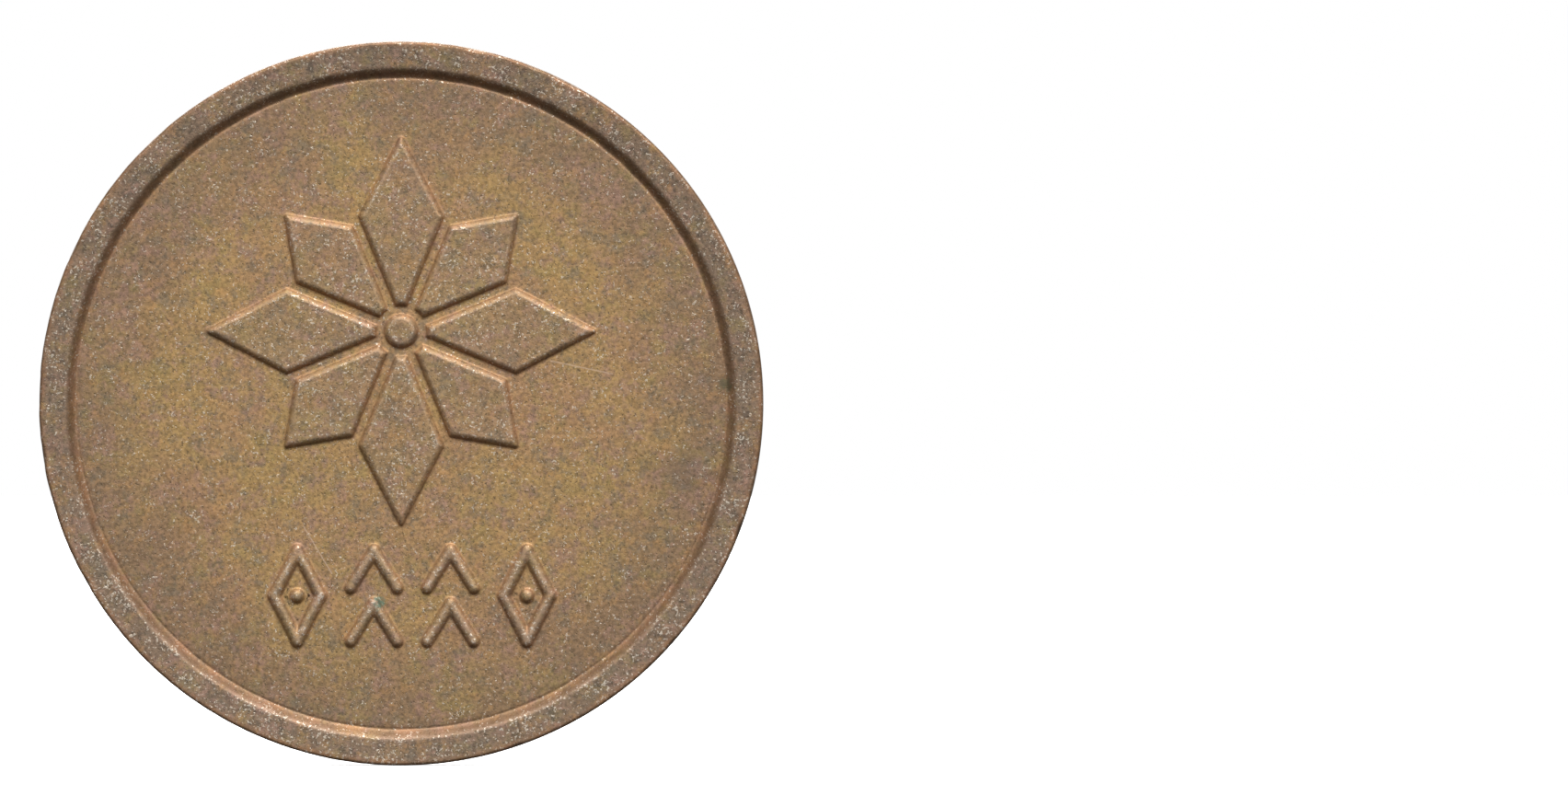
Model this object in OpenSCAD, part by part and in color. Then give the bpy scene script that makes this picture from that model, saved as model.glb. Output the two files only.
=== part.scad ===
// A one-ride transit token: a small struck metal disc with an upset rim on both faces.
// It stands on its edge, as it does when it drops into a fare slot and rolls.
// +X is to the right of someone looking at the front, +Y runs from front to back, +Z is up.
// The origin is the centre of the disc.

/* [Blank] */
// Diameter over the edge
token_d = 23; // [22.5:0.1:26]
// Thickness over both rims
token_t = 1.8; // [1.6:0.1:2.4]
// Width of the front rim's flat top, corner included
front_rim_w = 0.9; // [0.7:0.05:1.1]
// Width of the back rim's flat top, corner included
back_rim_w = 1; // [0.7:0.05:1.1]
// Width of the slope between rim and field
slope_w = 0.3; // [0.15:0.05:0.35]
// Height of the rims above the fields
rim_h = 0.25; // [0.2:0.05:0.4]
// Radius of the rounded outer corners
corner_r = 0.15; // [0.1:0.05:0.3]

/* [Front face] */
// Height of the raised designs above the fields
relief_h = 0.15; // [0.08:0.01:0.18]
// Height of the star's centre above the middle of the face
star_y = 2.3; // [2:0.1:2.6]
// Centre to tip of a long star point
long_r = 6.3; // [5.6:0.1:6.4]
// Centre to tip of a short star point
short_r = 5.3; // [4.6:0.1:5.5]
// Width of the channels between the star points
channel_w = 0.24; // [0.15:0.01:0.35]
// Diameter of the boss in the middle of the star
hub_d = 1.1; // [0.8:0.1:1.4]
// Height of each ornament in the row under the star
row_h = 3.3; // [2.6:0.1:3.4]
// Distance from one ornament of the row to the next
row_pitch = 2.43; // [2.3:0.01:2.6]
// Width of the row's strokes
row_stroke = 0.42; // [0.3:0.01:0.5]

/* [Back face] */
// Inner radius of the raised ring
ring_in_r = 6; // [5.9:0.05:6.1]
// Outer radius of the raised ring
ring_out_r = 6.95; // [6.8:0.05:7.1]
// Height of each ornament in the border
border_h = 1.55; // [1.3:0.05:1.6]
// Width of the border's strokes
border_stroke = 0.3; // [0.2:0.01:0.36]
// Distance from the middle to the ornaments of the upper arc
upper_r = 8.46; // [8.3:0.02:8.7]
// Distance from the middle to the ornaments of the lower arc
lower_r = 8.81; // [8.6:0.02:8.9]
// Centre to tip of an asterisk's arm
asterisk_r = 0.82; // [0.7:0.02:0.9]

/* [Hidden] */
$fn = 96;
face_z = token_t / 2;
field_z = face_z - rim_h;
edge_r = token_d / 2;

// Star: eight kites, each filling a 45 degree sector less half a channel on both sides.
STAR_POINTS = 8;
sector = 360 / STAR_POINTS;
kite_start = channel_w / 2 / sin(sector / 2);
long_side = 3.6;
short_side = 3.4;
hub_gap = channel_w;

// Shares of an ornament's own measures: a dot of its stroke, a chevron's rise of its height,
// a ring of its width.
dot_share = 1.15;
rise_share = 0.36;
ring_share = 1.2;

// Row of ornaments: it sits a little right of the middle.
ROW = ["lozenge", "chevrons", "chevrons", "lozenge"];
row_x = 0.35;
row_y = -6.1;
row_w = 1.9;

// Border: three ornaments, a gap and seven more above; one, a gap and twelve more below.
// Angles run counterclockwise from the right-hand side of the back face.
CYCLE = ["lozenge", "bars", "ring", "chevrons"];
border_w = 1.1;
UPPER = concat([for (i = [0 : 2]) 154.5 - 12 * i], [for (i = [0 : 6]) 93.5 - 11.5 * i]);
LOWER = concat([197.2], [for (i = [0 : 11]) 221.1 + 10.85 * i]);
ASTERISKS = [175.4, 2.4];
asterisk_ring_r = 8.67;
ARMS = 6;

// Pictogram of a train's front over its track, drawn about the middle of the back face.
cab = [
    [-2.3, -1.9], [2.3, -1.9], [2.75, -0.9], [2.5, 2.7],
    [1.5, 3.9], [-1.5, 3.9], [-2.5, 2.7], [-2.75, -0.9]];
windscreen = [[-1.75, 0.5], [1.75, 0.5], [1.6, 2.35], [-1.6, 2.35]];
lamp_x = 1.65;
lamp_y = -0.75;
lamp_d = 0.85;
sign_size = [1.7, 0.42];
sign_y = 3.1;
rail_top = [1.55, -2.35];
rail_foot = [3.35, -4.55];
rail_w = 0.46;
tie_h = 0.42;
tie_gap = 0.16;
TIES = [-3, -4.1];

function two_digits(i) = str(i < 10 ? "0" : "", i);
star_names = [for (i = [1 : STAR_POINTS]) str("star_point_", i)];
row_names = [for (i = [1 : len(ROW)]) str("row_ornament_", i)];
upper_names = [for (i = [1 : len(UPPER)]) str("upper_ornament_", two_digits(i))];
lower_names = [for (i = [1 : len(LOWER)]) str("lower_ornament_", two_digits(i))];

// Puts what is drawn flat, as seen from in front of the face, onto the front or the back.
module on_front() {
    rotate([90, 0, 0]) translate([0, 0, field_z]) linear_extrude(relief_h) children();
}
module on_back() {
    rotate([90, 0, 180]) translate([0, 0, field_z]) linear_extrude(relief_h) children();
}

// Round-ended stroke from p to q.
module stroke(p, q, w) {
    run = q - p;
    translate(p) rotate(atan2(run.y, run.x)) translate([0, -w / 2]) square([norm(run), w]);
    for (end = [p, q]) translate(end) circle(d = w);
}

// Ornaments, each centred in a box of w by h and drawn with strokes of width s.
module lozenge(w, h, s) {
    x = (w - s) / 2;
    y = (h - s) / 2;
    corners = [[x, 0], [0, y], [-x, 0], [0, -y]];
    for (i = [0 : 3]) stroke(corners[i], corners[(i + 1) % 4], s);
    circle(d = s * dot_share);
}
module bars(w, h, s) {
    y = (h - s) / 2;
    for (x = [-w / 4, w / 4]) stroke([x, -y], [x, y], s);
}
module chevrons(w, h, s) {
    x = (w - s) / 2;
    rise = h * rise_share;
    for (foot = [-(h - s) / 2, (h - s) / 2 - rise])
        for (side = [-x, x]) stroke([side, foot], [0, foot + rise], s);
}
module ring(w, s) {
    difference() {
        circle(d = w * ring_share);
        circle(d = w * ring_share - 2 * s);
    }
    circle(d = s * dot_share);
}
module ornament(kind, w, h, s) {
    if (kind == "lozenge") lozenge(w, h, s);
    if (kind == "bars") bars(w, h, s);
    if (kind == "chevrons") chevrons(w, h, s);
    if (kind == "ring") ring(w, s);
}

// The blank: one turned profile with a rim and a field on both sides.
module half_profile(rim_w) {
    rim_in_r = edge_r - rim_w;
    field_r = rim_in_r - slope_w;
    square([field_r, field_z]);
    polygon([
        [field_r, 0],
        [edge_r - corner_r, 0],
        [edge_r - corner_r, face_z],
        [rim_in_r, face_z],
        [field_r, field_z]]);
    translate([edge_r - corner_r, 0]) square([corner_r, face_z - corner_r]);
    intersection() {
        translate([edge_r - corner_r, face_z - corner_r]) circle(corner_r);
        translate([edge_r - corner_r, face_z - corner_r]) square(corner_r);
    }
}
module blank() {
    color("#8a725c") rotate([90, 0, 0]) rotate_extrude() {
        half_profile(front_rim_w);
        mirror([0, 1]) half_profile(back_rim_w);
    }
}

// Star point number i, counted clockwise from the top; odd ones are long.
module star_point(i) {
    long = i % 2 == 1;
    side = long ? long_side : short_side;
    shoulder = [kite_start + side * cos(sector / 2), side * sin(sector / 2)];
    color("#9b8267") on_front() translate([0, star_y]) rotate(90 - (i - 1) * sector) difference() {
        polygon([[kite_start, 0], [shoulder.x, -shoulder.y], [long ? long_r : short_r, 0], shoulder]);
        circle(d = hub_d + 2 * hub_gap);
    }
}
module star_hub() {
    color("#9b8267") on_front() translate([0, star_y]) circle(d = hub_d);
}
module row_ornament(i) {
    x = row_x + (i - (len(ROW) + 1) / 2) * row_pitch;
    color("#a0866a") on_front() translate([x, row_y]) ornament(ROW[i - 1], row_w, row_h, row_stroke);
}

module raised_ring() {
    color("#8f7862") on_back() difference() {
        circle(ring_out_r);
        circle(ring_in_r);
    }
}
module train_cab() {
    color("#9b8066") on_back() difference() {
        polygon(cab);
        polygon(windscreen);
        for (side = [-1, 1]) translate([side * lamp_x, lamp_y]) circle(d = lamp_d);
        translate([0, sign_y]) square(sign_size, center = true);
    }
}
// side is -1 for the left rail and 1 for the right one, as seen from behind.
module rail(side) {
    half = rail_w / 2;
    color("#9b8066") on_back() polygon([
        [side * (rail_top.x - half), rail_top.y],
        [side * (rail_top.x + half), rail_top.y],
        [side * (rail_foot.x + half), rail_foot.y],
        [side * (rail_foot.x - half), rail_foot.y]]);
}
// Cross tie between the rails, at height y.
module tie(y) {
    lean = (rail_foot.x - rail_top.x) / (rail_top.y - rail_foot.y);
    reach = rail_top.x - rail_w / 2 - tie_gap;
    top_x = reach + lean * (rail_top.y - y - tie_h / 2);
    foot_x = reach + lean * (rail_top.y - y + tie_h / 2);
    color("#9b8066") on_back() polygon([
        [-foot_x, y - tie_h / 2], [foot_x, y - tie_h / 2], [top_x, y + tie_h / 2], [-top_x, y + tie_h / 2]]);
}
module asterisk(angle) {
    color("#a0866a") on_back() rotate(angle) translate([asterisk_ring_r, 0])
        for (i = [0 : ARMS - 1]) rotate(i * 360 / ARMS)
            stroke([0, 0], [asterisk_r - border_stroke / 2, 0], border_stroke);
}
// Upper ornaments stand with their tops outwards, lower ones with their tops towards the middle.
module upper_ornament(i) {
    color("#a0866a") on_back() rotate(UPPER[i - 1] - 90) translate([0, upper_r])
        ornament(CYCLE[(i - 1) % len(CYCLE)], border_w, border_h, border_stroke);
}
module lower_ornament(i) {
    color("#a0866a") on_back() rotate(LOWER[i - 1] + 90) translate([0, -lower_r])
        ornament(CYCLE[(i - 1) % len(CYCLE)], border_w, border_h, border_stroke);
}

blank();
star_hub();
for (i = [1 : STAR_POINTS]) star_point(i);
for (i = [1 : len(ROW)]) row_ornament(i);
raised_ring();
train_cab();
rail(-1);  // rail_left
rail(1);  // rail_right
tie(TIES[0]);  // tie_upper
tie(TIES[1]);  // tie_lower
asterisk(ASTERISKS[0]);  // asterisk_left
asterisk(ASTERISKS[1]);  // asterisk_right
for (i = [1 : len(UPPER)]) upper_ornament(i);
for (i = [1 : len(LOWER)]) lower_ornament(i);
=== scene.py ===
"""Looks of the transit token: struck relief with soft walls, patinated copper alloy, soft studio light.

Shapes are worked out in millimetres on each face, with u to the right and v up as seen from in front of
that face and h the height above the field. Each mesh is then made in metres, in the row frame.
"""
import math

import bpy
import numpy as np
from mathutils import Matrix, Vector, noise
from mathutils.geometry import delaunay_2d_cdt


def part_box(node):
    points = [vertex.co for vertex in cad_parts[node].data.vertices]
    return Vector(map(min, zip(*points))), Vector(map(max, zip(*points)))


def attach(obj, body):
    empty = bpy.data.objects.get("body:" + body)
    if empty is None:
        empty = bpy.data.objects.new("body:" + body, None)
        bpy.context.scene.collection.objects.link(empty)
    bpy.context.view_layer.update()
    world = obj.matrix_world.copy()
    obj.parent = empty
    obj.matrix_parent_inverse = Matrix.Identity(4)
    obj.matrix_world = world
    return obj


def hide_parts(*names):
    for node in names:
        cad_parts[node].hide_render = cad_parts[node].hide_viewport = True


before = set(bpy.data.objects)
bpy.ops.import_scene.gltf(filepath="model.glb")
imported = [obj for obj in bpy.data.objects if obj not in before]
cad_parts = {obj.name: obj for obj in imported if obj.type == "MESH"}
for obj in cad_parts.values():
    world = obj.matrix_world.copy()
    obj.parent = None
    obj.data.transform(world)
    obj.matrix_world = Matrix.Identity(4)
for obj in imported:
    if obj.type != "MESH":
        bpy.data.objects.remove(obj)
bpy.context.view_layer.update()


# ---------------------------------------------------------------- sizes, in mm
MM = 0.001
FRONT, BACK = -1, 1


def box_mm(node):
    low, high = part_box(node)
    return np.array(low) / MM, np.array(high) / MM


def middle(node, face):
    """(u, v) of the middle of a node's box."""
    low, high = box_mm(node)
    centre = (low + high) / 2
    return -face * centre[0], centre[2]


def on_circle(r, angle):
    """(u, v) at a radius and an angle in degrees."""
    return r * math.cos(math.radians(angle)), r * math.sin(math.radians(angle))


BLANK_HIGH = box_mm("blank")[1]
HUB_LOW, HUB_HIGH = box_mm("star_hub")
EDGE_R = round(BLANK_HIGH[2], 2)
FACE_H = round(BLANK_HIGH[1], 3)
FIELD_H = round(-HUB_HIGH[1], 3)
RELIEF = round(HUB_HIGH[1] - HUB_LOW[1], 3)
HUB_D = round(HUB_HIGH[2] - HUB_LOW[2], 2)
RIM = FACE_H - FIELD_H
SLOPE_W = 0.3
CORNER_R = 0.1
RIM_W = {FRONT: 0.9, BACK: 1}
RIM_IN_R = {face: EDGE_R - w for face, w in RIM_W.items()}
FIELD_R = {face: r - SLOPE_W for face, r in RIM_IN_R.items()}


# ---------------------------------------------------------------- distances to outlines, negative inside
FILLET_W = 0.04


def to_segment(p, a, b):
    a, b = np.array(a, float), np.array(b, float)
    run = b - a
    t = np.clip(((p - a) @ run) / (run @ run), 0, 1)
    return np.linalg.norm(p - a - t[:, None] * run, axis=1)


def to_polygon(p, corners):
    far = np.full(len(p), np.inf)
    inside = np.zeros(len(p), bool)
    for a, b in zip(corners, corners[1:] + corners[:1]):
        far = np.minimum(far, to_segment(p, a, b))
        if a[1] != b[1]:
            spans = (a[1] > p[:, 1]) != (b[1] > p[:, 1])
            inside ^= spans & (p[:, 0] < a[0] + (p[:, 1] - a[1]) * (b[0] - a[0]) / (b[1] - a[1]))
    return np.where(inside, -far, far)


def to_circle(p, r, at=(0, 0)):
    return np.linalg.norm(p - np.array(at), axis=1) - r


def joined(distances):
    """Union of outlines, with a small fillet where two of them meet."""
    whole = distances[0]
    for d in distances[1:]:
        near = np.clip(0.5 + 0.5 * (d - whole) / FILLET_W, 0, 1)
        whole = d + (whole - d) * near - FILLET_W * near * (1 - near)
    return whole


def strokes(p, lines, width):
    return joined([to_segment(p, a, b) - width / 2 for a, b in lines])


def inset(corners, by):
    """The polygon, counterclockwise, with each side moved inwards."""
    moved = []
    for before, here, after in zip(corners[-1:] + corners[:-1], corners, corners[1:] + corners[:1]):
        sides = np.array([np.subtract(here, before), np.subtract(after, here)], float)
        sides /= np.linalg.norm(sides, axis=1)[:, None]
        inward = np.stack([-sides[:, 1], sides[:, 0]], axis=1)
        moved.append(tuple(np.array(here) + np.linalg.solve(inward, [by, by])))
    return moved


def rounded_polygon(p, corners, r):
    return to_polygon(p, inset(corners, r)) - r


# ---------------------------------------------------------------- ornaments, each centred on 0, 0
DOT_SHARE = 1.15
RISE_SHARE = 0.36
RING_SHARE = 1.2
ARMS = 6


def lozenge(p, w, h, s):
    x, y = (w - s) / 2, (h - s) / 2
    corners = [(x, 0), (0, y), (-x, 0), (0, -y)]
    sides = list(zip(corners, corners[1:] + corners[:1]))
    return np.minimum(strokes(p, sides, s), to_circle(p, s * DOT_SHARE / 2))


def bars(p, w, h, s):
    y = (h - s) / 2
    return strokes(p, [((x, -y), (x, y)) for x in (-w / 4, w / 4)], s)


def chevrons(p, w, h, s):
    x, rise = (w - s) / 2, h * RISE_SHARE
    feet = (-(h - s) / 2, (h - s) / 2 - rise)
    return strokes(p, [((side, foot), (0, foot + rise)) for foot in feet for side in (-x, x)], s)


def ring(p, w, h, s):
    middle_r = (w * RING_SHARE - s) / 2
    hoop = np.abs(np.linalg.norm(p, axis=1) - middle_r) - s / 2
    return np.minimum(hoop, to_circle(p, s * DOT_SHARE / 2))


def asterisk(p, reach, s):
    tips = [on_circle(reach - s / 2, i * 360 / ARMS) for i in range(ARMS)]
    return strokes(p, [((0, 0), tip) for tip in tips], s)


KINDS = {"lozenge": lozenge, "bars": bars, "chevrons": chevrons, "ring": ring}


# ---------------------------------------------------------------- heights
# Walls and ridges. The shares say where across them the mesh has edges.
WALL_W = 0.18
WALL_ROUNDNESS = 1.8
WALL_SHARES = (0, 0.1, 0.3, 0.6, 1, 1.2)
RING_WALL_W = 0.08
RIDGE_ROUNDNESS = 2.4
RIDGE_SHARES = (0, 0.17, 0.37, 0.6)

# The fillet at their foot, how far it then dips under the field, and where the mesh has edges there.
FOOT_H = 0.011
FOOT_W = 0.11
DIP = 0.0015
DIP_W = 0.05
SKIRT = [0.13, 0.07, 0.03]

# The field's waves: how fast each runs along u and v, and where it starts.
FIELD_WAVE_H = 0.003
FIELD_WAVES = ((0.9, 0.4, 1), (0.5, -1.1, 2.2))


def smooth(t):
    t = np.clip(t, 0, 1)
    return t * t * (3 - 2 * t)


def ramp(x, start, full):
    """0 at start, 1 at full, eased between."""
    return smooth((x - start) / (full - start))


def shoulder(t, roundness=WALL_ROUNDNESS):
    """0 to 1, steep at the foot and rounded over towards the top."""
    return 1 - (1 - np.clip(t, 0, 1)) ** roundness


def band(x, most, centre, width):
    """most at the centre, fading out to both sides."""
    return most * np.exp(-(((x - centre) / width) ** 2))


def field_wave(u, v):
    """The field isn't perfectly flat: shallow waves left by the die."""
    return FIELD_WAVE_H * sum(np.sin(a * u + b * v + c) for a, b, c in FIELD_WAVES)


def foot(d):
    """Small fillet round a relief. It fades out and ends just under the field."""
    return FOOT_H * np.clip(1 - np.maximum(d, 0) / FOOT_W, 0, 1) ** 2 - DIP * smooth(d / DIP_W)


def plateau(d, wall):
    """Flat top with sloping walls."""
    return foot(d) + (RELIEF - FOOT_H) * shoulder(-d / wall)


def ridge(d, half):
    """Rounded top, as a round-nosed cutter leaves it in the die."""
    t = np.clip(1 + d / half, 0, 1)
    return foot(d) + (RELIEF - FOOT_H) * (1 - t**RIDGE_ROUNDNESS)


def ridge_levels(half):
    return SKIRT + [-half * share for share in RIDGE_SHARES]


def plateau_levels(wall):
    return SKIRT + [-wall * share for share in WALL_SHARES]


# ---------------------------------------------------------------- meshes that follow their outlines
# GRID is the step at which outlines are traced, BURY how deep a design's underside lies in the blank.
GRID = 0.03
BURY = 0.08
ROW_SHARE = 0.866
MERGE = 1e-6
WIDE_STEP = 0.3
FEWEST_POINTS = 8

# Steps along the outlines, and between the points inside them.
RIDGE_STEPS = (0.04, 0.045)
PLATEAU_STEPS = (0.05, WIDE_STEP)


def crossings(values, level):
    """Closed loops of grid positions, as row and column, where values cross level."""
    below = values < level
    links = {}
    corners = below[:-1, :-1].astype(int) + below[:-1, 1:] + below[1:, 1:] + below[1:, :-1]
    for i, j in np.argwhere((corners > 0) & (corners < 4)).tolist():
        c = (below[i, j], below[i, j + 1], below[i + 1, j + 1], below[i + 1, j])
        sides = ((0, i, j), (1, i, j + 1), (0, i + 1, j), (1, i, j))
        cut = [side for k, side in enumerate(sides) if c[k] != c[(k + 1) % 4]]
        pairs = [cut] if len(cut) == 2 else [(cut[0], cut[3]), (cut[1], cut[2])]
        for a, b in pairs:
            links.setdefault(a, []).append(b)
            links.setdefault(b, []).append(a)
    loops = []
    while links:
        edge = next(iter(links))
        loop = []
        while edge is not None:
            upright, i, j = edge
            i2, j2 = i + upright, j + 1 - upright
            t = (level - values[i, j]) / (values[i2, j2] - values[i, j])
            loop.append((i + t * (i2 - i), j + t * (j2 - j)))
            onward = links.pop(edge)
            edge = next((e for e in onward if e in links), None)
        loops.append(np.array(loop))
    return loops


def evenly(loop, spacing):
    """Points at even steps along a closed loop."""
    closed_loop = np.vstack([loop, loop[:1]])
    along = np.concatenate([[0], np.cumsum(np.linalg.norm(np.diff(closed_loop, axis=0), axis=1))])
    count = max(FEWEST_POINTS, round(along[-1] / spacing))
    steps = np.arange(count) * along[-1] / count
    return np.stack([np.interp(steps, along, closed_loop[:, k]) for k in (0, 1)], axis=1)


def onto(p, shape, level):
    """Moves points down the slope of the distance until they lie on one level of it."""
    tiny, least = 1e-4, 0.25
    for _ in range(2):
        slope = np.stack([
            shape(p + [tiny, 0]) - shape(p - [tiny, 0]),
            shape(p + [0, tiny]) - shape(p - [0, tiny]),
        ], axis=1) / (2 * tiny)
        steepness = np.maximum((slope**2).sum(1), least)
        p = p - ((shape(p) - level) / steepness)[:, None] * slope
    return p


def lattice(reach, spacing):
    """Points in staggered rows over a rectangle of half size reach."""
    rows = np.arange(-reach[1], reach[1], spacing * ROW_SHARE)
    return np.array([
        (u + (k % 2) * spacing / 2, v)
        for k, v in enumerate(rows) for u in np.arange(-reach[0], reach[0], spacing)
    ])


def triangles(points, edges):
    """(points, counterclockwise triangles) that keep the given edges."""
    found = delaunay_2d_cdt([Vector(p) for p in points], edges, [], 0, MERGE)
    at = np.array([tuple(v) for v in found[0]])
    faces = np.array([f for f in found[2] if len(f) == 3])
    a, b, c = (at[faces[:, k]] for k in range(3))
    area = (b[:, 0] - a[:, 0]) * (c[:, 1] - a[:, 1]) - (b[:, 1] - a[:, 1]) * (c[:, 0] - a[:, 0])
    return at, np.where(area[:, None] > 0, faces, faces[:, ::-1])


def flat_mesh(shape, reach, levels, spacing, inner):
    """Triangles over the area within the outermost level, with edges along every level."""
    pad = max(levels) + 3 * GRID
    us, vs = (np.arange(-r - pad, r + pad + GRID, GRID) for r in reach)
    grid = np.stack(np.meshgrid(us, vs), axis=-1)
    values = shape(grid.reshape(-1, 2)).reshape(grid.shape[:2])
    points, edges, count = [], [], 0
    for level in levels:
        for loop in crossings(values, level):
            if len(loop) < 4:
                continue
            at = np.stack([us[0] + loop[:, 1] * GRID, vs[0] + loop[:, 0] * GRID], axis=1)
            at = onto(evenly(at, spacing), shape, level)
            edges += [(count + k, count + (k + 1) % len(at)) for k in range(len(at))]
            points.append(at)
            count += len(at)
    inside = lattice(reach, inner)
    points.append(inside[shape(inside) < min(levels) - 0.5 * inner])
    at, faces = triangles(np.vstack(points), edges)
    faces = faces[shape(at[faces].mean(axis=1)) < max(levels)]
    used, renumbered = np.unique(faces, return_inverse=True)
    return at[used], renumbered.reshape(-1, 3)


def closed(count, faces):
    """Faces of a closed solid whose bottom repeats the top's points in the same order."""
    sides = np.vstack([faces[:, [0, 1]], faces[:, [1, 2]], faces[:, [2, 0]]]).tolist()
    there = set(map(tuple, sides))
    walls = [(b, a, a + count, b + count) for a, b in sides if (b, a) not in there]
    return faces.tolist() + (faces[:, ::-1] + count).tolist() + walls


def to_row_frame(points, face):
    """(u, v, h) on a face to x, y, z in metres."""
    u, v, h = points.T
    return np.stack([-face * u, face * (FIELD_H + h), v], axis=1) * MM


def make_piece(node, points, faces, tones, material):
    """tones holds each point's dirt-and-painted-shade, worn, top and red shares, from 0 to 1, which the
    material reads.
    """
    mesh = bpy.data.meshes.new(node + "_struck")
    mesh.from_pydata(points.tolist(), [], faces)
    mesh.polygons.foreach_set("use_smooth", [True] * len(mesh.polygons))
    colours = np.clip(tones, 0, 1).astype(np.float32)
    mesh.attributes.new("tone", "FLOAT_COLOR", "POINT").data.foreach_set("color", colours.ravel())
    mesh.materials.append(material)
    mesh.update()
    piece = bpy.data.objects.new(mesh.name, mesh)
    bpy.context.scene.collection.objects.link(piece)
    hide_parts(node)
    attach(piece, "root")
    return piece


# Shares of a tone near an outline: the most, how far out from the outline that is, and the width.
# The dark band at the foot and low on the walls of each design is partly dirt and partly painted shade.
RIDGE_DIRT_AND_SHADE = (0.3, -0.03, 0.05)
WALL_DIRT_AND_SHADE = (0.25, 0, 0.06)
RED_WALL = (1, -0.04, 0.08)
RIDGE_WORN = 0.5
RIDGE_WORN_POWER = 6
CREST_WORN = 0.4
CREST_W = 0.03
POLISH = 0.7


def relief_tones(d, h, half, wall, polish):
    """Dirt and painted shade along the foot and low on the walls, wear along the crest, the top, and red
    copper on the walls.
    """
    share = h / RELIEF
    dirt_and_shade = band(d, *RIDGE_DIRT_AND_SHADE) if half else band(d, *WALL_DIRT_AND_SHADE)
    worn = RIDGE_WORN * share**RIDGE_WORN_POWER if half else band(d, CREST_WORN, -wall, CREST_W)
    return np.column_stack([dirt_and_shade, worn, polish * smooth(share), band(d, *RED_WALL)])


FLAT_MESHES = {}


def relief(
    node, face, kind, shape, reach, material, at=(0, 0), turn=0, half=None, wall=WALL_W, polish=POLISH,
):
    """One raised design: a ridge if half, half its stroke's width, is given, or else a plateau.

    reach is half its size before it is turned, and polish how strongly its top takes the raised metal's
    colour. Designs of one kind share their flat mesh.
    """
    if kind not in FLAT_MESHES:
        levels = ridge_levels(half) if half else plateau_levels(wall)
        steps = RIDGE_STEPS if half else PLATEAU_STEPS
        FLAT_MESHES[kind] = flat_mesh(shape, reach, levels, *steps)
    flat, faces = FLAT_MESHES[kind]
    d = shape(flat)
    h = ridge(d, half) if half else plateau(d, wall)
    tones = np.tile(relief_tones(d, h, half, wall, polish), (2, 1))
    c, s = math.cos(math.radians(turn)), math.sin(math.radians(turn))
    u, v = (flat @ np.array([[c, s], [-s, c]]) + np.array(at)).T
    h = h + field_wave(u, v)
    points = np.vstack([np.column_stack([u, v, h]), np.column_stack([u, v, np.full(len(u), -BURY)])])
    solid = closed(len(flat), faces)
    return make_piece(node, to_row_frame(points, face), solid, tones, material)


# ---------------------------------------------------------------- the front's designs
LONG_R = 6.3
SHORT_R = 5.3
CHANNEL_W = 0.24
LONG_SIDE = 3.6
SHORT_SIDE = 3.4
STAR_POINTS = 8
KITE_CORNER_R = 0.1
ROW = ("lozenge", "chevrons", "chevrons", "lozenge")
ROW_STROKE = 0.42


def kite(p, tip_r, side):
    """A star point along +u from the star's centre, cut back round the boss."""
    half_sector = math.pi / STAR_POINTS
    start = CHANNEL_W / 2 / math.sin(half_sector)
    u, v = start + side * math.cos(half_sector), side * math.sin(half_sector)
    corners = [(start, 0), (u, -v), (tip_r, 0), (u, v)]
    clear_of_hub = HUB_D / 2 + CHANNEL_W - np.linalg.norm(p, axis=1)
    return np.maximum(rounded_polygon(p, corners, KITE_CORNER_R), clear_of_hub)


def make_front(material):
    star = middle("star_hub", FRONT)
    hub_r = HUB_D / 2
    relief("star_hub", FRONT, "hub", lambda p: to_circle(p, hub_r), (hub_r, hub_r), material, star)
    for i in range(STAR_POINTS):
        tip_r, side = (SHORT_R, SHORT_SIDE) if i % 2 else (LONG_R, LONG_SIDE)
        relief(
            f"star_point_{i + 1}", FRONT, f"kite {tip_r}", lambda p: kite(p, tip_r, side),
            (tip_r, tip_r), material, star, 90 - i * 360 / STAR_POINTS,
        )
    for i, kind in enumerate(ROW):
        node = f"row_ornament_{i + 1}"
        low, high = box_mm(node)
        w, h = high[0] - low[0], high[2] - low[2]
        relief(
            node, FRONT, "row " + kind, lambda p: KINDS[kind](p, w, h, ROW_STROKE),
            (w / 2, h / 2), material, middle(node, FRONT), half=ROW_STROKE / 2,
        )


# ---------------------------------------------------------------- the back's designs
RING_IN_R = 6
BORDER_H = 1.55
BORDER_W = 1.1
BORDER_STROKE = 0.3
UPPER_R = 8.46
LOWER_R = 8.81
ASTERISK_R = 8.67
ASTERISK_REACH = 0.82
CYCLE = ("lozenge", "bars", "ring", "chevrons")
UPPER = [154.5 - 12 * i for i in range(3)] + [93.5 - 11.5 * i for i in range(7)]
LOWER = [197.2] + [221.1 + 10.85 * i for i in range(12)]
ASTERISKS = {"asterisk_left": 175.4, "asterisk_right": 2.4}
CAB = [
    (-2.3, -1.9), (2.3, -1.9), (2.75, -0.9), (2.5, 2.7),
    (1.5, 3.9), (-1.5, 3.9), (-2.5, 2.7), (-2.75, -0.9),
]
WINDSCREEN = [(-1.75, 0.5), (1.75, 0.5), (1.6, 2.35), (-1.6, 2.35)]
SIGN = [(-0.85, 2.89), (0.85, 2.89), (0.85, 3.31), (-0.85, 3.31)]
LAMP_X = 1.65
LAMP_Y = -0.75
LAMP_D = 0.85
CAB_CORNER_R = 0.12
OPENING_CORNER_R = 0.08
RAIL_TOP = (1.55, -2.35)
RAIL_FOOT = (3.35, -4.55)
RAIL_W = 0.46
TIE_H = 0.42
TIE_GAP = 0.16
TIES = {"tie_upper": -3, "tie_lower": -4.1}
SLAB_CORNER_R = 0.06


def big_ring(p, out_r):
    return np.abs(np.linalg.norm(p, axis=1) - (out_r + RING_IN_R) / 2) - (out_r - RING_IN_R) / 2


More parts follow.
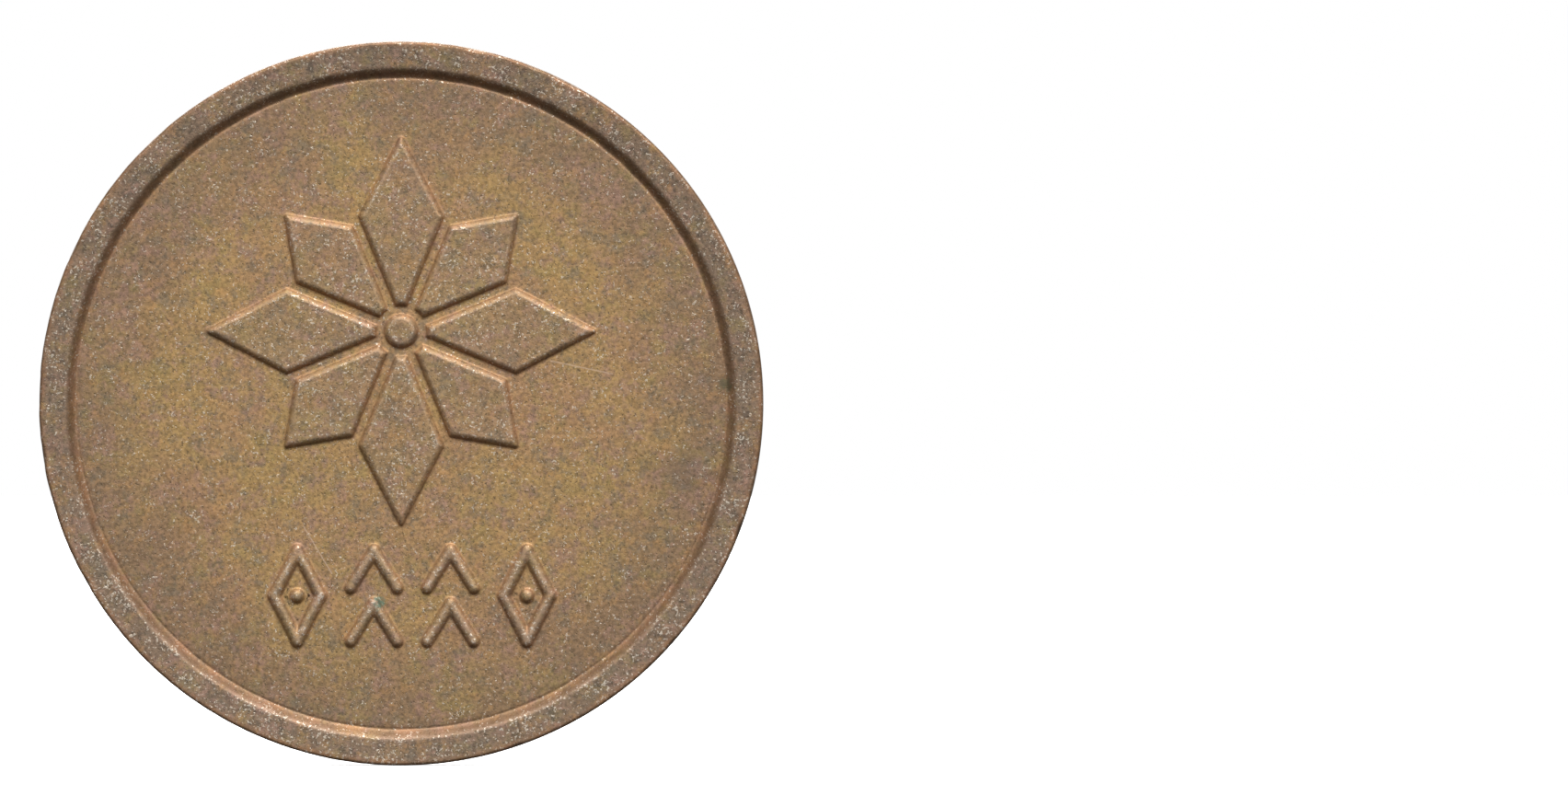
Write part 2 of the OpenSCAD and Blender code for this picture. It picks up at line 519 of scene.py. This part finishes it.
def cab(p):
    lamps = [to_circle(p, LAMP_D / 2, (x, LAMP_Y)) for x in (-LAMP_X, LAMP_X)]
    openings = lamps + [rounded_polygon(p, corners, OPENING_CORNER_R) for corners in (WINDSCREEN, SIGN)]
    return np.maximum(rounded_polygon(p, CAB, CAB_CORNER_R), -np.minimum.reduce(openings))


def slab(node, corners, material):
    """A flat-topped design with straight sides, such as a rail."""
    relief(
        node, BACK, node, lambda p: rounded_polygon(p, corners, SLAB_CORNER_R),
        np.abs(corners).max(axis=0), material,
    )


def make_track(material):
    """Two rails that spread downwards and two ties between them."""
    for node, side in (("rail_left", -1), ("rail_right", 1)):
        corners = [
            (side * x + across * RAIL_W / 2, y)
            for (x, y), across in ((RAIL_FOOT, -1), (RAIL_FOOT, 1), (RAIL_TOP, 1), (RAIL_TOP, -1))
        ]
        slab(node, corners, material)
    lean = (RAIL_FOOT[0] - RAIL_TOP[0]) / (RAIL_TOP[1] - RAIL_FOOT[1])
    reach = RAIL_TOP[0] - RAIL_W / 2 - TIE_GAP
    for node, y in TIES.items():
        low, high = y - TIE_H / 2, y + TIE_H / 2
        wide, narrow = (reach + lean * (RAIL_TOP[1] - level) for level in (low, high))
        slab(node, [(-wide, low), (wide, low), (narrow, high), (-narrow, high)], material)


def border_ornament(node, i, at, turn, material):
    kind = CYCLE[i % len(CYCLE)]
    relief(
        node, BACK, "border " + kind, lambda p: KINDS[kind](p, BORDER_W, BORDER_H, BORDER_STROKE),
        (BORDER_W * RING_SHARE / 2, BORDER_H / 2), material, at, turn, BORDER_STROKE / 2,
    )


def make_back(material):
    out_r = round(box_mm("raised_ring")[1][2], 2)
    relief(
        "raised_ring", BACK, "big ring", lambda p: big_ring(p, out_r), (out_r, out_r), material,
        wall=RING_WALL_W, polish=1,
    )
    relief("train_cab", BACK, "cab", cab, np.abs(CAB).max(axis=0), material)
    make_track(material)
    for node, angle in ASTERISKS.items():
        relief(
            node, BACK, "asterisk", lambda p: asterisk(p, ASTERISK_REACH, BORDER_STROKE),
            (ASTERISK_REACH, ASTERISK_REACH), material, on_circle(ASTERISK_R, angle), angle,
            BORDER_STROKE / 2,
        )
    for i, angle in enumerate(UPPER):
        border_ornament(f"upper_ornament_{i + 1:02}", i, on_circle(UPPER_R, angle), angle - 90, material)
    for i, angle in enumerate(LOWER):
        border_ornament(f"lower_ornament_{i + 1:02}", i, on_circle(LOWER_R, angle), angle + 90, material)


# ---------------------------------------------------------------- the blank
# Points in a ring, the radius where rings start, and that of the edge.
AROUND = 640
FLAT_R = 9.9
OUTER_R = EDGE_R - 0.006
SHOULDER_W = 0.33
SHOULDER_SHIFT = 0.04
SHOULDER_ROUNDNESS = 1.4

# Rings: the steps between them, how far the fine ones reach past the slope, and the gaps after them.
FIELD_STEP = 0.08
SLOPE_STEP = 0.03
TOP_STEP = 0.06
FINE_INSIDE = 0.06
FINE_OUTSIDE = 0.08
RING_GAP = 0.04
CORNER_GAP = 0.02
CORNER_RINGS = 8
EDGE_RINGS = 6

# Wear. COARSE and FINE are random patterns: what keeps one apart from another, and features per mm.
COARSE = (9, 0.9)
FINE = (5, 3.5)

# How far the two move the slope, and how the top wears: its mean, then what the two add.
SLOPE_WOBBLE = (0.022, 0.008)
TOP_WEAR = (0.006, 0.004, 0.003)
MOST_TOP_WEAR = 0.02
DISH = 0.045
EDGE_WEAR = 0.012

# Where wear starts and where it is full, outwards from the slope's foot or inwards from the edge.
ON_RIM = (-0.05, 0.15)
OFF_CORNER = (0.3, 0.7)
NEAR_CORNER = (0.5, 0.2)

NICKS = {FRONT: 18, BACK: 36}
NICK_W = (0.12, 0.4)
NICK_DEPTH = (0.01, 0.035)
NICK_DROP = 0.5
NICK_SEED = 5

# Tones: the most, how far from the slope's foot or the edge, and the width.
# The darker band on the rim's slope is partly dirt and partly painted shade; the darkening of the outer
# corner and the edge is painted shade.
SLOPE_DIRT_AND_SHADE = (0.85, 0.22, 0.13)
CORNER_SHADE = (0.8, 0.02, 0.09)
EDGE_SHADE = 0.8
EDGE_IN_R = 11
BELOW_CORNER = 0.01
RIM_WORN = (0.35, 0.04, 0.05)
RED_SLOPE = (1, 0.12, 0.16)
RED_CORNER = (1, 0.08, 0.11)


def rim_profile(face):
    """(r, h) from the field's outer part over the rim to the middle of the edge."""
    field_r, in_r = FIELD_R[face], RIM_IN_R[face]
    coarse = np.arange(FLAT_R, field_r - FINE_INSIDE - RING_GAP, FIELD_STEP)
    fine = np.arange(field_r - FINE_INSIDE, in_r + FINE_OUTSIDE, SLOPE_STEP)
    slope_r = np.concatenate([coarse, fine])
    up = (slope_r - field_r - SHOULDER_SHIFT) / SHOULDER_W
    slope = list(zip(slope_r, RIM * shoulder(up, SHOULDER_ROUNDNESS)))
    top_r = np.arange(in_r + FINE_OUTSIDE + RING_GAP, OUTER_R - CORNER_R - CORNER_GAP, TOP_STEP)
    top = [(r, RIM) for r in top_r]
    turns = np.radians(np.linspace(0, 90, CORNER_RINGS))
    corner = [
        (OUTER_R - CORNER_R * (1 - math.sin(a)), RIM - CORNER_R * (1 - math.cos(a))) for a in turns
    ]
    edge = [(OUTER_R, h) for h in np.linspace(RIM - CORNER_R, -FIELD_H, EDGE_RINGS)[1:]]
    return np.array(slope + top + corner + edge)


def wobble(u, v, face, apart, scale):
    """Smooth random values from -1 to 1 at points on a face."""
    return np.array([noise.noise(Vector((a, b, apart * face)) * scale) for a, b in zip(u, v)])


def worn_rim(r, h, angle, face):
    """Uneven slope and a top that leans inwards, then dents along the outer corner."""
    u, v = r * np.cos(angle), r * np.sin(angle)
    on_rim = ramp(r - FIELD_R[face], *ON_RIM)
    off_corner = ramp(EDGE_R - r, *OFF_CORNER)
    on_corner = ramp(EDGE_R - r, *NEAR_CORNER) * ramp(h, -CORNER_R, 0)
    coarse = wobble(u, v, face, *COARSE)
    fine = wobble(u, v, face, *FINE)
    r = r + on_rim * off_corner * (SLOPE_WOBBLE[0] * coarse + SLOPE_WOBBLE[1] * fine)
    wear = TOP_WEAR[0] + TOP_WEAR[1] * coarse + TOP_WEAR[2] * fine
    h = h - on_rim * np.clip(wear, 0, MOST_TOP_WEAR)
    h = h - on_rim * DISH * np.clip(EDGE_R - CORNER_R - r, 0, 1)
    r = r - on_corner * EDGE_WEAR * (0.5 + 0.5 * fine)
    return dented(r, h, angle, on_corner, face)


def dented(r, h, angle, on_corner, face):
    """Small dents at random places round the outer corner."""
    dice = np.random.default_rng(NICK_SEED + face)
    for _ in range(NICKS[face]):
        at, size, depth = dice.uniform(0, 2 * math.pi), dice.uniform(*NICK_W), dice.uniform(*NICK_DEPTH)
        off = np.abs((angle - at + math.pi) % (2 * math.pi) - math.pi) * EDGE_R
        dent = band(off, depth, 0, size) * on_corner
        r, h = r - dent, h - NICK_DROP * dent
    return r, h


def blank_tones(r, h, face):
    """Dirt and painted shade on the slope, painted shade on the outer corner and edge, wear on the rim's
    inner edge, the rim, red on slope and corner.
    """
    outwards, inwards = r - FIELD_R[face], EDGE_R - r
    above_edge = h > RIM - CORNER_R - BELOW_CORNER
    on_edge = ~above_edge & (r > EDGE_IN_R)
    return np.column_stack([
        band(outwards, *SLOPE_DIRT_AND_SHADE) + band(inwards, *CORNER_SHADE) * above_edge + EDGE_SHADE * on_edge,
        band(r - RIM_IN_R[face], *RIM_WORN),
        smooth(outwards / SLOPE_W),
        band(outwards, *RED_SLOPE) + band(inwards, *RED_CORNER),
    ])


def blank_face(face):
    """(points, tones, faces) of one face out to the middle of the edge, outermost ring last."""
    angles = np.arange(AROUND) * 2 * math.pi / AROUND
    inner_ring = FLAT_R * np.stack([np.cos(angles), np.sin(angles)], axis=1)
    inside = lattice((FLAT_R, FLAT_R), WIDE_STEP)
    inside = inside[np.linalg.norm(inside, axis=1) < FLAT_R - WIDE_STEP / 2]
    edges = [(k, (k + 1) % AROUND) for k in range(AROUND)]
    flat, faces = triangles(np.vstack([inner_ring, inside]), edges)
    profile = rim_profile(face)[1:]
    r, h = (np.repeat(profile[:, k], AROUND) for k in (0, 1))
    angle = np.tile(angles, len(profile))
    worn_r, worn_h = worn_rim(r, h, angle, face)
    u = np.concatenate([flat[:, 0], worn_r * np.cos(angle)])
    v = np.concatenate([flat[:, 1], worn_r * np.sin(angle)])
    all_r = np.concatenate([np.linalg.norm(flat, axis=1), r])
    all_h = np.concatenate([np.zeros(len(flat)), h])
    height = np.concatenate([np.zeros(len(flat)), worn_h])
    height += (1 - smooth((all_r - FIELD_R[face]) / SLOPE_W)) * field_wave(u, v)
    tones = blank_tones(all_r, all_h, face)
    steps = np.arange(AROUND)
    rings = [steps] + [len(flat) + k * AROUND + steps for k in range(len(profile))]
    faces = faces.tolist()
    for a, b in zip(rings, rings[1:]):
        faces += np.stack([a, b, np.roll(b, -1), np.roll(a, -1)], axis=1).tolist()
    return np.column_stack([u, v, height]), tones, faces


def make_blank(material):
    """Both faces, joined along the middle of the edge."""
    front, front_tones, front_faces = blank_face(FRONT)
    back, back_tones, back_faces = blank_face(BACK)
    shared = len(front) - AROUND
    kept = len(back) - AROUND
    mirrored = shared + (AROUND // 2 - np.arange(AROUND)) % AROUND
    number = np.concatenate([len(front) + np.arange(kept), mirrored]).tolist()
    points = np.vstack([to_row_frame(front, FRONT), to_row_frame(back[:kept], BACK)])
    points[shared:shared + AROUND, 1] = 0
    faces = front_faces + [[number[k] for k in f] for f in back_faces]
    tones = np.vstack([front_tones, back_tones[:kept]])
    return make_piece("blank", points, faces, tones, material)


# ---------------------------------------------------------------- material
OLIVE = (0.342, 0.22, 0.088)
RUSSET = (0.332, 0.195, 0.099)
MAUVE = (0.213, 0.138, 0.081)

# Tint, features per mm, shift of the pattern, and the most of it.
BLOTCHES = (
    ((0.38, 0.21, 0.08), 1.7, 3.0, 0.5),
    ((0.275, 0.205, 0.075), 1.3, 31.0, 0.5),
    ((0.16, 0.132, 0.096), 2.0, 11.0, 0.6),
    ((0.3, 0.177, 0.135), 1.5, 23.0, 0.6),
)
STEEL = (0.242, 0.163, 0.099)
RIM_GREY = (0.199, 0.139, 0.098)
SILVER = (0.72, 0.64, 0.53)
COPPER = (0.55, 0.4, 0.3)
RUST = (0.42, 0.2, 0.095)
# Dark brown used both for dirt and for painted shade on walls, at their feet, and on the outer corner
# and edge.
GRIME_AND_SHADE = (0.13, 0.064, 0.024)
PIT = (0.1, 0.07, 0.04)
TARNISH = (0.07, 0.055, 0.042)
TEAL = (0.03, 0.13, 0.1)
MOSS = (0.07, 0.07, 0.04)
SOOT = (0.12, 0.09, 0.075)

# Place, radius, colour, and the most of it. The places' y says which face.
STAINS = (
    ((-0.71, -0.65, -6.33), 0.28, TEAL, 0.75),
    ((7.12, 0.65, 4.4), 0.26, TEAL, 0.7),
    ((10.3, -0.65, 0.62), 0.34, MOSS, 0.7),
    ((8.96, -0.65, -2.07), 0.9, SOOT, 0.3),
)

# Two ends of each hairline.
SCRATCHES = (
    ((4.75, -0.65, 1.35), (6.7, -0.65, 0.94)),
    ((1.2, 0.65, 4.1), (2.1, 0.65, 4.16)),
    ((4.6, 0.65, 5.5), (5.5, 0.65, 5.05)),
    ((-3.1, -0.65, -3.9), (-2.2, -0.65, -5.4)),
)

# Noise patterns: features per mm, detail and roughness. Shifts keep two of them, or two faces, apart.
CLOUDS = (0.35, 3.0, 0.6)
PATCHES = (1.6, 4.0, 0.7)
SPECKLE = (8.0, 3.0, 0.75)
TARNISH_SPOTS = (3.2, 3.0, 0.7)
FLECKS = (13.0, 2.0, 0.6)
PITS = (11.0, 2.0, 0.6)
PITS_SHIFT = (7.0, 5.0, 3.0)
FACE_SHIFT = 37.0
BLOTCH_DETAIL = (4.0, 0.75)

# Eased spans: two values, then what they become, which is 0 and 1 where it isn't given.
RUSSET_SPAN = (0.36, 0.64)
MAUVE_SPAN = (9.0, 13.0, 0.0, 0.9)
RIM_SPAN = (10.0, 10.4)
BLOTCH_SPAN = (0.48, 0.68, 0.0)
TARNISH_SPAN = (0.5, 0.66, 0.0, 0.55)
LEAST_SPAN = (0.38, 0.66, 0.68, 0.59)
FLECK_SPAN = (0.0, 0.07)
PIT_SPAN = (0.4, 0.31)
BARE_SPAN = (0.35, 0.65, 0.15, 0.6)
RED_SPAN = (0.4, 0.64, 0.1, 0.5)
GRIME_AND_SHADE_SPAN = (0.3, 0.7, 0.75, 0.35)
SHADE_SPAN = (0.25, 0.75, 0.66, 1.34)
ROUGH_SPAN = (0.3, 0.7, 0.52, 0.68)
HAIRLINE_SPAN = (0.03, 0.008)
SAME_FACE_SPAN = (0.0, 0.1)

# How strongly the layers show and act on each other.
CLOUD_REACH = 5.0
RAISED_SHARE = 0.75
TOP_FLECKS = 0.045
WORN_FLECKS = 0.06
PIT_SHARE = 0.7
FLECK_SHARE = 0.6
SCRATCH_SHARE = 0.5
STAIN_RAGGED = 2.4
STAIN_CORE = 0.25
FLECK_ROUGH, BARE_ROUGH, GRIME_AND_SHADE_ROUGH = -0.15, -0.06, -0.05
PIT_BUMP, FLECK_BUMP, PATCH_BUMP = -0.5, 0.2, 1.5
BUMP_MM = 0.018
BUMP_STRENGTH = 0.5
METALLIC = 0.6


class Nodes:
    """Short ways to add shader nodes. Each gives an output socket, and parts gives all three."""

    def __init__(self, owner):
        owner.use_nodes = True
        self.tree = owner.node_tree

    def add(self, kind, inputs, output=0, **settings):
        node = self.tree.nodes.new(kind)
        for name, value in settings.items():
            setattr(node, name, value)
        for key, value in inputs.items():
            if isinstance(value, bpy.types.NodeSocket):
                self.tree.links.new(value, node.inputs[key])
            else:
                node.inputs[key].default_value = value
        return node.outputs[output]

    def math(self, operation, a, b=0.0, c=0.0):
        return self.add("ShaderNodeMath", {0: a, 1: b, 2: c}, operation=operation)

    def vector(self, operation, a, b=(0, 0, 0), output=0):
        return self.add("ShaderNodeVectorMath", {0: a, 1: b}, output, operation=operation)

    def scaled(self, a, by):
        return self.add("ShaderNodeVectorMath", {0: a, "Scale": by}, operation="SCALE")

    def parts(self, a):
        return self.add("ShaderNodeSeparateXYZ", {0: a}).node.outputs

    def noise(self, where, scale, detail, rough):
        inputs = {"Vector": where, "Scale": scale, "Detail": detail, "Roughness": rough}
        return self.add("ShaderNodeTexNoise", inputs)

    def span(self, value, low, high, to_low=0.0, to_high=1.0):
        """value from low to high becomes to_low to to_high, eased and clamped."""
        inputs = {"Value": value, "From Min": low, "From Max": high, "To Min": to_low, "To Max": to_high}
        return self.add("ShaderNodeMapRange", inputs, interpolation_type="SMOOTHSTEP")

    def mix(self, share, a, b, blend="MIX"):
        a, b = (x + (1.0,) if isinstance(x, tuple) else x for x in (a, b))
        return self.add("ShaderNodeMix", {0: share, 6: a, 7: b}, 2, data_type="RGBA", blend_type=blend)


def place_on_face(n):
    """(row frame position in mm, the same shifted so that the two faces get different patterns)."""
    at = n.scaled(n.add("ShaderNodeTexCoord", {}, "Object"), 1 / MM)
    shift = n.math("MULTIPLY", n.math("SIGN", n.parts(at)[1]), FACE_SHIFT)
    return at, n.vector("ADD", at, n.add("ShaderNodeCombineXYZ", {0: shift}))


def near_spot(n, at, ragged, spot, size):
    """1 in the middle of a spot, 0 outside its ragged outline."""
    away = n.vector("DISTANCE", at, spot, output=1)
    away = n.math("MULTIPLY_ADD", n.math("SUBTRACT", ragged, 0.5), -STAIN_RAGGED * size, away)
    return n.span(away, size, size * STAIN_CORE)


def near_scratch(n, at, start, end):
    """1 on a hairline between two points, 0 beside it."""
    run = Vector(end) - Vector(start)
    from_start = n.vector("SUBTRACT", at, start)
    along = n.vector("DOT_PRODUCT", from_start, tuple(run / run.length_squared), 1)
    nearest = n.vector("ADD", n.scaled(tuple(run), n.add("ShaderNodeClamp", {0: along})), start)
    away = from_axis(n, n.vector("SUBTRACT", at, nearest))
    same_face = n.span(n.math("MULTIPLY", n.parts(at)[1], start[1]), *SAME_FACE_SPAN)
    return n.math("MULTIPLY", n.span(away, *HAIRLINE_SPAN), same_face)


def from_axis(n, at):
    """Length of a vector across the token's axis."""
    return n.vector("LENGTH", n.vector("MULTIPLY", at, (1, 0, 1)), output=1)


def mottled(n, at, where, top):
    """Olive to russet clouds, duller towards the rim, broken up by blotches of four other tints."""
    clouds = n.noise(where, *CLOUDS)
    colour = n.mix(n.span(clouds, *RUSSET_SPAN), OLIVE, RUSSET)
    r = from_axis(n, at)
    outer = n.math("MULTIPLY_ADD", clouds, CLOUD_REACH, r)
    colour = n.mix(n.span(outer, *MAUVE_SPAN), colour, MAUVE)
    on_rim = n.span(r, *RIM_SPAN)
    colour = n.mix(n.math("MULTIPLY", top, RAISED_SHARE), colour, n.mix(on_rim, STEEL, RIM_GREY))
    for tint, scale, shift, most in BLOTCHES:
        blotch = n.noise(n.vector("ADD", where, (shift, shift, shift)), scale, *BLOTCH_DETAIL)
        colour = n.mix(n.span(blotch, *BLOTCH_SPAN, most), colour, tint)
    tarnish = n.span(n.noise(where, *TARNISH_SPOTS), *TARNISH_SPAN)
    return n.mix(n.math("MULTIPLY", on_rim, tarnish), colour, TARNISH)


def flecks_and_pits(n, where, patches, top, worn):
    """(silvery flecks, in clusters and more on raised tops; dark pits), 1 on the mark and 0 off it."""
    least = n.math("MULTIPLY_ADD", top, -TOP_FLECKS, n.span(patches, *LEAST_SPAN))
    least = n.math("MULTIPLY_ADD", worn, -WORN_FLECKS, least)
    fleck = n.span(n.math("SUBTRACT", n.noise(where, *FLECKS), least), *FLECK_SPAN)
    pit = n.span(n.noise(n.vector("ADD", where, PITS_SHIFT), *PITS), *PIT_SPAN)
    return fleck, pit


def marked(n, at, speckle, colour):
    """The colour with a few stains and hairline scratches."""
    for spot, size, stain, most in STAINS:
        share = n.math("MULTIPLY", near_spot(n, at, speckle, spot, size), most)
        colour = n.mix(share, colour, stain)
    for start, end in SCRATCHES:
        share = n.math("MULTIPLY", near_scratch(n, at, start, end), SCRATCH_SHARE)
        colour = n.mix(share, colour, COPPER)
    return colour


def layered(n, base, layers):
    """base with each (pattern, change) added to it."""
    for pattern, change in layers:
        base = n.math("MULTIPLY_ADD", pattern, change, base)
    return base


def patina(name):
    """Worn copper alloy: mottled brown, silvery flecks, bare edges, red walls, grime and painted shade
    at their feet and on the rim's slope, painted shade on the outer corner and edge.
    """
    material = bpy.data.materials.new(name)
    n = Nodes(material)
    at, where = place_on_face(n)
    tone = n.add("ShaderNodeAttribute", {}, "Color", attribute_name="tone")
    # The tone's first share is dirt together with painted shade.
    dirt_and_shade, worn, top = n.add("ShaderNodeSeparateColor", {0: tone}).node.outputs
    red = tone.node.outputs["Alpha"]
    patches = n.noise(where, *PATCHES)
    speckle = n.noise(where, *SPECKLE)
    fleck, pit = flecks_and_pits(n, where, patches, top, worn)
    bare = n.math("MULTIPLY", worn, n.span(patches, *BARE_SPAN))
    # Darkening from the first tone share: partly dirt, partly painted shade on walls, feet, the outer
    # corner and the edge.
    grime_and_shade = n.math("MULTIPLY", dirt_and_shade, n.span(patches, *GRIME_AND_SHADE_SPAN))

    shade = n.span(speckle, *SHADE_SPAN)
    shade = n.add("ShaderNodeCombineColor", {0: shade, 1: shade, 2: shade})
    colour = n.mix(1.0, mottled(n, at, where, top), shade, "MULTIPLY")
    colour = n.mix(n.math("MULTIPLY", pit, PIT_SHARE), colour, PIT)
    colour = n.mix(n.math("MULTIPLY", red, n.span(patches, *RED_SPAN)), colour, RUST)
    colour = n.mix(bare, colour, COPPER)
    # Dirt and painted shade mixed into the colour.
    colour = n.mix(grime_and_shade, colour, GRIME_AND_SHADE)
    clear_of_grime_and_shade = n.math("SUBTRACT", FLECK_SHARE, n.math("MULTIPLY", grime_and_shade, FLECK_SHARE))
    colour = n.mix(n.math("MULTIPLY", fleck, clear_of_grime_and_shade), colour, SILVER)
    colour = marked(n, at, speckle, colour)

    rough = n.span(speckle, *ROUGH_SPAN)
    rough = layered(n, rough, ((fleck, FLECK_ROUGH), (bare, BARE_ROUGH), (grime_and_shade, GRIME_AND_SHADE_ROUGH)))
    height = layered(n, speckle, ((pit, PIT_BUMP), (fleck, FLECK_BUMP), (patches, PATCH_BUMP)))
    bump = {"Height": height, "Strength": BUMP_STRENGTH, "Distance": BUMP_MM * MM}
    bump = n.add("ShaderNodeBump", bump, "Normal")

    shader = n.tree.nodes["Principled BSDF"]
    for socket, value in (("Base Color", colour), ("Roughness", rough), ("Normal", bump)):
        n.tree.links.new(value, shader.inputs[socket])
    shader.inputs["Metallic"].default_value = METALLIC
    return material


# ---------------------------------------------------------------- stage, light and camera
# Lengths are in metres where the name says no unit.
FOCAL_MM = 300
SENSOR_MM = 36
FRAME_W_MM = 49.74
CAMERA_X_MM = 12.15
FLOOR_HALF = 1.2
FLOOR_COLOUR = (0.9, 0.9, 0.9, 1)
FLOOR_ROUGHNESS = 0.9
FLOOR_GLOW = 0.75
SKY_SPAN = (-0.6, 0.8, 0.1, 0.55)
WHITE = (1, 1, 1, 1)
KEY_DIRECTION = (0.1, -0.64, 0.75)
KEY_DISTANCE = 1.0
KEY_SIZE = 0.5
FRONT_KEY_POWER = 16.1
BACK_KEY_POWER = 14
CLIP = (0.01, 10)


def make_floor():
    """Pale floor under the token. It throws no light up onto the token."""
    s, z = FLOOR_HALF, -EDGE_R * MM
    mesh = bpy.data.meshes.new("floor")
    mesh.from_pydata([(-s, -s, z), (s, -s, z), (s, s, z), (-s, s, z)], [], [(0, 1, 2, 3)])
    material = bpy.data.materials.new("floor")
    shader = Nodes(material).tree.nodes["Principled BSDF"]
    shader.inputs["Base Color"].default_value = FLOOR_COLOUR
    shader.inputs["Roughness"].default_value = FLOOR_ROUGHNESS
    shader.inputs["Emission Color"].default_value = WHITE
    shader.inputs["Emission Strength"].default_value = FLOOR_GLOW
    mesh.materials.append(material)
    floor = bpy.data.objects.new("floor", mesh)
    bpy.context.scene.collection.objects.link(floor)
    floor.visible_diffuse = False
    floor.visible_glossy = False


def make_world():
    """White to the camera; to the token, a dim sky that is brighter above than below."""
    world = bpy.data.worlds.new("studio")
    bpy.context.scene.world = world
    n = Nodes(world)
    up = n.parts(n.add("ShaderNodeTexCoord", {}, "Generated"))[2]
    sky = n.span(up, *SKY_SPAN)
    seen = n.add("ShaderNodeLightPath", {}, "Is Camera Ray")
    background = n.tree.nodes["Background"]
    background.inputs["Color"].default_value = WHITE
    n.tree.links.new(n.add("ShaderNodeMix", {0: seen, 2: sky, 3: 1.0}), background.inputs["Strength"])


def make_key(name, side, power):
    """A large soft light that points at the token: side 1 lights the front, -1 the back."""
    light = bpy.data.lights.new(name, "AREA")
    light.shape = "DISK"
    light.size = KEY_SIZE
    light.energy = power
    lamp = bpy.data.objects.new(name, light)
    x, y, z = KEY_DIRECTION
    lamp.location = Vector((side * x, side * y, z)).normalized() * KEY_DISTANCE
    lamp.rotation_euler = lamp.location.to_track_quat("Z", "Y").to_euler()
    lamp.visible_camera = False
    bpy.context.scene.collection.objects.link(lamp)


def make_camera():
    lens = bpy.data.cameras.new("camera")
    lens.lens = FOCAL_MM
    lens.sensor_width = SENSOR_MM
    lens.clip_start, lens.clip_end = CLIP
    camera = bpy.data.objects.new("camera", lens)
    away = FRAME_W_MM * FOCAL_MM / SENSOR_MM + FACE_H
    camera.location = (CAMERA_X_MM * MM, -away * MM, 0)
    camera.rotation_euler = (math.pi / 2, 0, 0)
    bpy.context.scene.collection.objects.link(camera)
    bpy.context.scene.camera = camera


bpy.context.scene.view_settings.view_transform = "Standard"
make_camera()
make_floor()
make_world()
make_key("front_key", 1, FRONT_KEY_POWER)
make_key("back_key", -1, BACK_KEY_POWER)
make_blank(patina("token_field"))
relief_metal = patina("token_relief")
make_front(relief_metal)
make_back(relief_metal)
